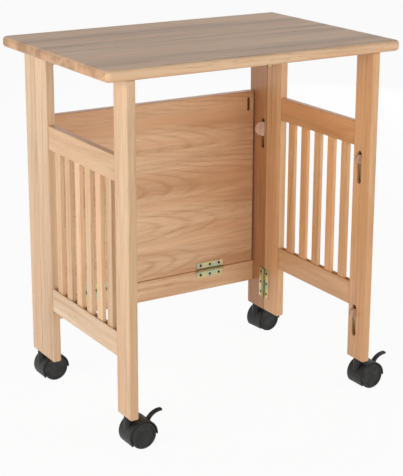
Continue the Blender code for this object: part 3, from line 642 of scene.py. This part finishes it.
# The barrels' dark zinc tint is painted shade, the dark line that runs between the leaves.
barrel_steel_with_painted_shade = dark_steel("hinge_barrel_steel", (0.40, 0.33, 0.17))
half_turn = Matrix.Rotation(math.pi, 4, "Z")
hinges = []
for side, inward in (("left", ACROSS_X), ("right", -ACROSS_X)):
    axes = Matrix((ALONG_Y.cross(inward), ALONG_Y, inward)).transposed().to_4x4()
    pin = joint_place[f"{side}_frame_fold"]
    for level in ("lower", "upper"):
        low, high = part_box(f"{side}_{level}_hinge_fixed_leaf")
        hinges.append((f"{side}_{level}_hinge", Vector((pin.x, pin.y, (low.z + high.z) / 2)), axes))
    low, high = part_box(f"shelf_{side}_hinge_fixed_leaf")
    pin = joint_place["shelf_drop"]
    axes = Matrix((-ACROSS_X, -UPRIGHT, -ALONG_Y)).transposed().to_4x4()
    hinges.append((f"shelf_{side}_hinge", Vector(((low.x + high.x) / 2, pin.y, pin.z)), axes))
for number, (name, pin, axes) in enumerate(hinges):
    plate_zinc = yellow_zinc(f"{name}_zinc", 11.0 + 4.3 * number)
    for parts, leaf, turn in zip(leaf_masters, ("fixed", "moving"), (Matrix(), half_turn)):
        place = Matrix.Translation(pin) @ axes @ turn
        hung(parts, f"{name}_{leaf}_leaf", place, (plate_zinc, barrel_steel_with_painted_shade, screw_steel))


# Top hinge: one long strip hinge of the same plated steel under the back edge of the table top.
# One leaf is screwed to the rear of the back top rail and the other to the top's underside.
TOP_HINGE_LENGTH, TOP_HINGE_WIDTH, TOP_HINGE_KNUCKLES, TOP_HINGE_SCREWS = 0.440, 0.014, 9, 8
pin = joint_place["top_tilt"]
strip_zinc = yellow_zinc("top_hinge_zinc", 61.0)
for leaf, first, axes in (
    ("fixed", 0, (ACROSS_X, -UPRIGHT, ALONG_Y)),
    ("moving", 1, (ACROSS_X, -ALONG_Y, -UPRIGHT)),
):
    parts = hinge_leaf(TOP_HINGE_LENGTH, TOP_HINGE_WIDTH, TOP_HINGE_KNUCKLES, first, TOP_HINGE_SCREWS)
    place = Matrix.Translation(pin) @ Matrix(axes).transposed().to_4x4()
    hung(parts, f"top_hinge_{leaf}_leaf", place, (strip_zinc, barrel_steel_with_painted_shade, screw_steel))
    leaf_masters.append(parts)
for parts in leaf_masters:
    for part in parts:
        bpy.data.objects.remove(part, do_unlink=True)


# Spring catches: six strips of plated spring steel, each screwed by its foot in a routed pocket so
# that it leans out into the bay, with a half-round moulded knob riveted to its free end.
STRIP_WIDTH, STRIP_THICKNESS, STRIP_LENGTH, STRIP_TAIL = 0.010, 0.0016, 0.0514, 0.0025
STRIP_FOOT_ROUND, STRIP_EASE = STRIP_WIDTH * 0.45, 0.0003
KNOB_WIDTH, KNOB_SIDES, KNOB_EASE, KNOB_EASE_STEPS = 0.011, 40, 0.0016, 4
LEG_KNOB, STILE_KNOB = (0.018, 0.0101), (0.030, 0.0180)
CATCH_LEAN = math.radians(9.375)
SPRING_BRASS, SPRING_OLIVE = (0.46, 0.36, 0.19, 1), (0.26, 0.21, 0.115, 1)
SPRING_RELIEF, MOULDING_RELIEF = 0.00008, 0.00005


def spring_steel():
    """Olive, brass-tinged plate of the springs, brushed along their length."""
    made, shade = new_finish("spring_steel")
    spot = shade.node("ShaderNodeTexCoord", out="Object")
    brushed = clouds(shade, spot, (700.0, 700.0, 40.0), 2.0, 3.0)
    stain = clouds(shade, spot, (90.0, 90.0, 60.0), 7.0)
    colour = tinted(shade, stain * 0.7 + brushed * 0.5 - 0.1, SPRING_BRASS, SPRING_OLIVE)
    sockets = {"Base Color": colour, "Metallic": 0.75, "Roughness": 0.34 + brushed * 0.2}
    return surfaced(made, shade, sockets, brushed, SPRING_RELIEF)


def knob_moulding(name, pale, deep):
    """Brown-pink moulded plastic with a fine mottle and a slight polish from fingers."""
    made, shade = new_finish(name)
    spot = shade.node("ShaderNodeTexCoord", out="Object")
    mottle = clouds(shade, spot, (160.0, 160.0, 110.0), 5.0, 3.0)
    grit = clouds(shade, spot, (1500.0, 1500.0, 1500.0), 9.0)
    colour = tinted(shade, between(shade, mottle, 0.3, 0.7), (*pale, 1), (*deep, 1))
    sockets = {"Base Color": colour, "Roughness": 0.38 + grit * 0.16, "Coat Weight": 0.1}
    return surfaced(made, shade, sockets, grit, MOULDING_RELIEF)


def spring_strip():
    """The strip in its own frame: foot at the origin, upright, its face towards +X."""
    half = STRIP_THICKNESS / 2
    strip = sawn(
        "strip", (-half, -STRIP_WIDTH / 2, -STRIP_TAIL), (half, STRIP_WIDTH / 2, STRIP_LENGTH)
    )
    eased(strip, lambda edge: runs(edge, 0) and edge.verts[0].co.z < 0, STRIP_FOOT_ROUND, 6)
    eased(strip, sharp, STRIP_EASE, 2)
    return strip


def half_round_knob(height, reach):
    """The knob in the strip's frame: a half round of this height and reach with softened rims."""
    middle = STRIP_LENGTH - height / 2
    ends = [(0, -KNOB_WIDTH / 2, middle), (0, KNOB_WIDTH / 2, middle)]
    knob = rod("knob", *ends, height / 2, KNOB_SIDES)
    picked(knob, "VERT", lambda v: True)
    squeeze = (reach / (height / 2), 1, 1)
    bpy.ops.transform.resize(value=squeeze, center_override=(0, 0, middle))
    bpy.ops.mesh.bisect(
        plane_co=(-STRIP_THICKNESS / 2, 0, 0), plane_no=(1, 0, 0), use_fill=True, clear_inner=True
    )
    bpy.ops.object.mode_set(mode="OBJECT")
    back = -STRIP_THICKNESS / 2 + 1e-5
    rim = lambda edge: sharp(edge) and any(v.co.x > back for v in edge.verts)
    eased(knob, rim, KNOB_EASE, KNOB_EASE_STEPS)
    return knob


strip_master = spring_strip()
leg_knob, stile_knob = half_round_knob(*LEG_KNOB), half_round_knob(*STILE_KNOB)
strip_steel = spring_steel()
leg_moulding = knob_moulding("leg_knob_moulding", (0.62, 0.40, 0.275), (0.48, 0.285, 0.18))
stile_moulding = knob_moulding("stile_knob_moulding", (0.84, 0.63, 0.50), (0.68, 0.46, 0.34))
for side, facing in (("left", Matrix()), ("right", half_turn)):
    for where, knob, moulding in (
        ("stile", stile_knob, stile_moulding),
        ("upper_leg", leg_knob, leg_moulding),
        ("lower_leg", leg_knob, leg_moulding),
    ):
        node = f"{side}_{where}_catch"
        pin = Matrix.Translation(joint_place[f"{node}_press"])
        place = pin @ facing @ Matrix.Rotation(CATCH_LEAN, 4, "Y")
        strip = copied(strip_master, f"{node}_strip", place)
        dressed(strip, body_of[node], strip_steel, "catch", node)
        dressed(copied(knob, f"{node}_knob", place), body_of[node], moulding, "catch")
for master in (strip_master, leg_knob, stile_knob):
    bpy.data.objects.remove(master, do_unlink=True)


# Casters: four twin-wheel casters moulded in black nylon, pushed into the uprights by their stems. A
# hood with a middle web carries the axle, and the two in front have a brake pedal on a cross pin.
WHEEL_RADIUS, WHEEL_WIDTH, WHEEL_GAP, WHEEL_SIDES, WHEEL_SHOULDER = 0.025, 0.017, 0.0004, 72, 0.002
WHEEL_DISH = ((0.0028, 0.0), (0.0007, -0.0012), (0.0035, 0.0002), (0.0080, 0.0006))
HOOD_INNER, HOOD_OUTER, HOOD_HALF, HOOD_RIM, HOOD_STEPS = 0.026, 0.0285, 0.0219, 0.0013, 60
HOOD_NOSE, HOOD_TAIL = math.radians(215), math.radians(-3)
WEB_WIDTH, WEB_RADIUS, WEB_SIDES = 0.009, (HOOD_INNER + HOOD_OUTER) / 2, 64
TRAIL, BOSS_RADIUS, BOSS_FOOT, BOSS_TOP, BOSS_SIDES = 0.020, 0.008, 0.010, 0.0347, 40
BOSS_EASE, BOSS_CLEARANCE, SWEEP_HALF = 0.0008, 0.0005, 0.05
STEM_RADIUS, STEM_TOP, STEM_LAP, STEM_EASE = 0.004, 0.069, 0.002, 0.0012
PEDAL_AT, PEDAL_RADIUS, PEDAL_GAP = math.radians(45), 0.02725, 0.0003
BARREL_RADIUS, BARREL_SIDES, BARREL_EASE = 0.0034, 32, 0.0004
PEDAL_LENGTH, PEDAL_ROOT, PEDAL_TIP_SHARE, PEDAL_EASE = 0.0329, 0.0056, 0.78, 0.0009
PEDAL_START, PEDAL_BEND, PEDAL_STEPS = math.radians(59.2), math.radians(66), 12
DUST_SHARE, NYLON_RELIEF = 3, 0.00006


def black_nylon(name, seed, tint, gloss):
    """Black moulded nylon: a fine spark-eroded texture, with a little dust and handling on it."""
    made, shade = new_finish(name)
    spot = shade.node("ShaderNodeTexCoord", out="Object")
    dust = clouds(shade, spot, (70.0, 70.0, 70.0), seed, 3.0)
    grit = clouds(shade, spot, (2200.0, 2200.0, 2200.0), seed + 2.0)
    dusty = tuple(DUST_SHARE * part for part in tint)
    colour = tinted(shade, between(shade, dust, 0.35, 0.75), (*tint, 1), (*dusty, 1))
    sockets = {"Base Color": colour, "Roughness": gloss + dust * 0.15, "Specular IOR Level": 0.35}
    return surfaced(made, shade, sockets, grit, NYLON_RELIEF)


def closed_shell():
    """Merges and closes the shell that is being edited, and turns its faces outwards."""
    bpy.ops.mesh.select_mode(type="EDGE")
    bpy.ops.mesh.select_all(action="SELECT")
    bpy.ops.mesh.remove_doubles(threshold=1e-6)
    bpy.ops.mesh.select_all(action="DESELECT")
    bpy.ops.mesh.select_non_manifold()
    bpy.ops.mesh.fill_holes(sides=0)
    bpy.ops.mesh.select_all(action="SELECT")
    bpy.ops.mesh.normals_make_consistent(inside=False)
    bpy.ops.object.mode_set(mode="OBJECT")


def caster_hood(braked):
    """Hood, web, boss and stem in the axle's frame, trailing along +X."""
    bpy.ops.object.select_all(action="DESELECT")
    bpy.ops.mesh.primitive_plane_add(size=1, location=(WEB_RADIUS, 0, 0))
    hood = bpy.context.object
    hood.scale = (HOOD_OUTER - HOOD_INNER, 2 * HOOD_HALF, 1)
    bpy.ops.object.transform_apply(location=True, rotation=True, scale=True)
    picked(hood, "VERT", lambda v: v.co.x > HOOD_INNER + 1e-4)
    bpy.ops.mesh.bevel(offset=HOOD_RIM, segments=4, affect="VERTICES")
    bpy.ops.object.mode_set(mode="OBJECT")
    hood.rotation_euler = (0, -HOOD_TAIL, 0)
    bpy.ops.object.transform_apply(location=True, rotation=True, scale=True)
    picked(hood, "FACE", lambda f: True)
    bpy.ops.mesh.spin(
        steps=HOOD_STEPS, angle=HOOD_NOSE - HOOD_TAIL, center=(0, 0, 0), axis=(0, 1, 0)
    )
    closed_shell()

    web = rod("web", (0, -WEB_WIDTH / 2, 0), (0, WEB_WIDTH / 2, 0), WEB_RADIUS, WEB_SIDES)
    ends = [Vector((math.cos(a), 0, math.sin(a))) * WEB_RADIUS for a in (HOOD_NOSE, HOOD_TAIL)]
    upward = (ends[0] - ends[1]).cross(ALONG_Y)
    upward = upward if upward.z > 0 else -upward
    picked(web, "VERT", lambda v: True)
    bpy.ops.mesh.bisect(plane_co=ends[0], plane_no=upward, use_fill=True, clear_inner=True)
    # The cut leaves the web's two end facets doubled, so these are taken out and closed once.
    bpy.ops.mesh.select_mode(type="FACE")
    bpy.ops.mesh.select_all(action="DESELECT")
    bpy.ops.mesh.select_interior_faces()
    bpy.ops.mesh.delete(type="ONLY_FACE")
    closed_shell()

    boss = rod("boss", (-TRAIL, 0, BOSS_FOOT), (-TRAIL, 0, BOSS_TOP), BOSS_RADIUS, BOSS_SIDES)
    eased(boss, lambda edge: sharp(edge) and edge.verts[0].co.z > BOSS_TOP - 1e-6, BOSS_EASE, 3)
    ends = [(0, -SWEEP_HALF, 0), (0, SWEEP_HALF, 0)]
    cut(boss, rod("sweep", *ends, HOOD_INNER + BOSS_CLEARANCE, WEB_SIDES))
    stem = rod("stem", (-TRAIL, 0, BOSS_TOP - STEM_LAP), (-TRAIL, 0, STEM_TOP), STEM_RADIUS)
    eased(stem, lambda edge: sharp(edge) and edge.verts[0].co.z > STEM_TOP - 1e-6, STEM_EASE, 3)
    if braked:
        for part in (hood, web):
            wide, tall = WEB_WIDTH / 2 + PEDAL_GAP, BARREL_RADIUS + PEDAL_GAP
            low = (PEDAL_RADIUS - BARREL_RADIUS - PEDAL_GAP, -wide, -tall)
            tool = sawn("slot_tool", low, (HOOD_OUTER + BARREL_RADIUS, wide, tall))
            tool.matrix_world = Matrix.Rotation(-PEDAL_AT, 4, "Y")
            cut(part, tool)
    return joined([hood, web, boss, stem], "hood")


def caster_wheel():
    """The front wheel in the axle's frame: rounded shoulders and a dished disc towards -Y."""
    inner = -WEB_WIDTH / 2 - WHEEL_GAP
    wheel = rod("wheel", (0, inner, 0), (0, inner - WHEEL_WIDTH, 0), WHEEL_RADIUS, WHEEL_SIDES)
    eased(wheel, sharp, WHEEL_SHOULDER, 4)
    picked(wheel, "FACE", lambda f: len(f.verts) > 4 and f.normal.y < -0.9)
    for thickness, depth in WHEEL_DISH:
        bpy.ops.mesh.inset(thickness=thickness, depth=depth)
    bpy.ops.object.mode_set(mode="OBJECT")
    return wheel


def brake_pedal():
    """The pedal about its barrel's axis: an arm that bends over and thins to its tip."""
    half_wide = WEB_WIDTH / 2 - PEDAL_GAP
    bpy.ops.object.select_all(action="DESELECT")
    bpy.ops.mesh.primitive_plane_add(size=1, location=(0, 0, 0))
    arm = bpy.context.object
    arm.scale = (PEDAL_ROOT, 2 * half_wide, 1)
    arm.rotation_euler = (0, math.pi / 2 - PEDAL_START, 0)
    bpy.ops.object.transform_apply(location=True, rotation=True, scale=True)
    radius = PEDAL_LENGTH / PEDAL_BEND
    centre = Vector((math.sin(PEDAL_START), 0, -math.cos(PEDAL_START))) * radius
    thinner = PEDAL_TIP_SHARE ** (1 / PEDAL_STEPS)
    picked(arm, "FACE", lambda f: True)
    for _ in range(PEDAL_STEPS):
        bpy.ops.mesh.spin(steps=1, angle=PEDAL_BEND / PEDAL_STEPS, center=centre, axis=(0, -1, 0))
        chosen = [v.co for v in bmesh.from_edit_mesh(arm.data).verts if v.select]
        middle = sum(chosen, Vector()) / len(chosen)
        bpy.ops.transform.resize(value=(thinner, 1, thinner), center_override=middle)
    closed_shell()
    eased(arm, sharp, PEDAL_EASE, 3)
    barrel = rod("barrel", (0, -half_wide, 0), (0, half_wide, 0), BARREL_RADIUS, BARREL_SIDES)
    eased(barrel, sharp, BARREL_EASE, 2)
    return joined([arm, barrel], "pedal")


hoods = {True: caster_hood(True), False: caster_hood(False)}
wheel_master, pedal_master = caster_wheel(), brake_pedal()
hood_nylon = black_nylon("hood_nylon", 3.0, (0.0085, 0.0085, 0.008), 0.42)
wheel_nylon = black_nylon("wheel_nylon", 6.0, (0.0125, 0.0125, 0.012), 0.50)
pedal_nylon = black_nylon("pedal_nylon", 9.0, (0.008, 0.008, 0.0075), 0.40)
for end, braked in (("front", True), ("rear", False)):
    for side in ("left", "right"):
        corner = f"{end}_{side}"
        axle = joint_place[f"{corner}_wheel_front_spin"]
        heading = axle - joint_place[f"{corner}_caster_swivel"]
        place = Matrix.Translation(axle) @ Matrix.Rotation(math.atan2(heading.y, heading.x), 4, "Z")
        node = f"{corner}_caster_hood"
        hood = copied(hoods[braked], f"{node}_shell", place)
        dressed(hood, body_of[node], hood_nylon, "caster", node)
        for face, turn in (("front", Matrix()), ("back", half_turn)):
            node = f"{corner}_caster_wheel_{face}"
            wheel = copied(wheel_master, f"{node}_disc", place @ turn)
            dressed(wheel, body_of[node], wheel_nylon, "caster", node)
        if braked:
            node = f"{corner}_caster_brake_pedal"
            barrel = Vector((math.cos(PEDAL_AT), 0, math.sin(PEDAL_AT))) * PEDAL_RADIUS
            pedal = copied(pedal_master, f"{node}_arm", place @ Matrix.Translation(barrel))
            dressed(pedal, body_of[node], pedal_nylon, "caster", node)
for master in (*hoods.values(), wheel_master, pedal_master):
    bpy.data.objects.remove(master, do_unlink=True)


# Studio: a pale floor that keeps the soft shadow, a white surround, a broad lamp on the left and two
# weaker ones on the right, in front and behind. The camera stands where the stand was seen from.
FLOOR_RADIUS, FLOOR_WHITENESS, FLOOR_PAPER, WHITE = 9.0, 0.94, (0.86, 0.855, 0.85, 1), (1, 1, 1, 1)
WALL_LIGHT, FRONT_LIGHT = 0.85, 0.52
LAMP_SIZE, LAMP_AIM = 1.6, Vector((0, 0, 0.35))
FOCAL_PIXELS, FRAME_HEIGHT, FRAME_SHIFT = 1375, 476, -0.1
CAMERA_PLACE, CAMERA_REACH = (-1.3250, -2.1423, 1.1011), 50.0
AZIMUTH, ELEVATION, ROLL = math.radians(-31.65), math.radians(15.70), math.radians(0.18)


def seen_directly(shade):
    """1 for what is seen, straight, mirrored or through a surface, and 0 for what only lights."""
    outputs = shade.node("ShaderNodeLightPath").socket.node.outputs
    kinds = ("Is Camera Ray", "Is Glossy Ray", "Is Transmission Ray")
    seen, mirrored, through = (Shade(shade.tree, outputs[kind]) for kind in kinds)
    return shade.sum("MINIMUM", seen + mirrored + through, 1.0)


bpy.ops.object.select_all(action="DESELECT")
bpy.ops.mesh.primitive_circle_add(
    vertices=96, radius=FLOOR_RADIUS, fill_type="NGON", location=(0, 0, 0)
)
floor = bpy.context.object
floor.name = "floor"
paper, shade = new_finish("floor_paper")
whitened = seen_directly(shade) * FLOOR_WHITENESS
matt = shade.node("ShaderNodeBsdfDiffuse", None, {"Color": FLOOR_PAPER})
white = shade.node("ShaderNodeEmission", None, {"Color": WHITE, "Strength": 1.0})
mixed = shade.node("ShaderNodeMixShader", None, {0: whitened, 1: matt, 2: white})
shade.node("ShaderNodeOutputMaterial", None, {"Surface": mixed})
floor.data.materials.append(paper)

world = bpy.data.worlds.new("studio")
bpy.context.scene.world = world
world.use_nodes = True
world.node_tree.nodes.clear()
sky = Shade(world.node_tree)
heading = sky.node("ShaderNodeTexCoord", out="Generated")
outputs = sky.node("ShaderNodeSeparateXYZ", None, {0: heading}).socket.node.outputs
depth, height = Shade(sky.tree, outputs[1]), Shade(sky.tree, outputs[2])
walls = WALL_LIGHT - WALL_LIGHT * between(sky, height, 0.0, 0.85)
front = FRONT_LIGHT * between(sky, 0 - depth, 0.1, 0.95)
ambient = sky.node("ShaderNodeBackground", None, {"Color": WHITE, "Strength": walls + front})
backdrop = sky.node("ShaderNodeBackground", None, {"Color": WHITE, "Strength": 1.0})
mixed = sky.node("ShaderNodeMixShader", None, {0: seen_directly(sky), 1: ambient, 2: backdrop})
sky.node("ShaderNodeOutputWorld", None, {"Surface": mixed})

for name, place, power in (
    ("left_lamp", Vector((-2.5, -0.45, 0.85)), 39.0),
    ("front_right_lamp", Vector((1.6, -1.9, 0.8)), 16.5),
    ("back_right_lamp", Vector((2.3, 1.7, 0.9)), 16.0),
):
    bpy.ops.object.light_add(type="AREA", location=place)
    lamp = bpy.context.object
    lamp.name = name
    lamp.data.size = LAMP_SIZE
    lamp.data.energy = power
    lamp.visible_glossy = False
    lamp.rotation_euler = (LAMP_AIM - place).to_track_quat("-Z", "Y").to_euler()

outward = Vector((math.sin(AZIMUTH), -math.cos(AZIMUTH), 0))
back = outward * math.cos(ELEVATION) + UPRIGHT * math.sin(ELEVATION)
right = Vector((math.cos(AZIMUTH), math.sin(AZIMUTH), 0))
upward = back.cross(right)
level = Matrix((right, upward, back)).transposed().to_4x4()
bpy.ops.object.camera_add()
camera = bpy.context.object
camera.data.lens = FOCAL_PIXELS * camera.data.sensor_width / FRAME_HEIGHT
camera.data.shift_y = FRAME_SHIFT
camera.data.clip_end = CAMERA_REACH
camera.matrix_world = Matrix.Translation(CAMERA_PLACE) @ level @ Matrix.Rotation(ROLL, 4, "Z")
bpy.context.scene.camera = camera
bpy.context.scene.view_settings.view_transform = "Standard"
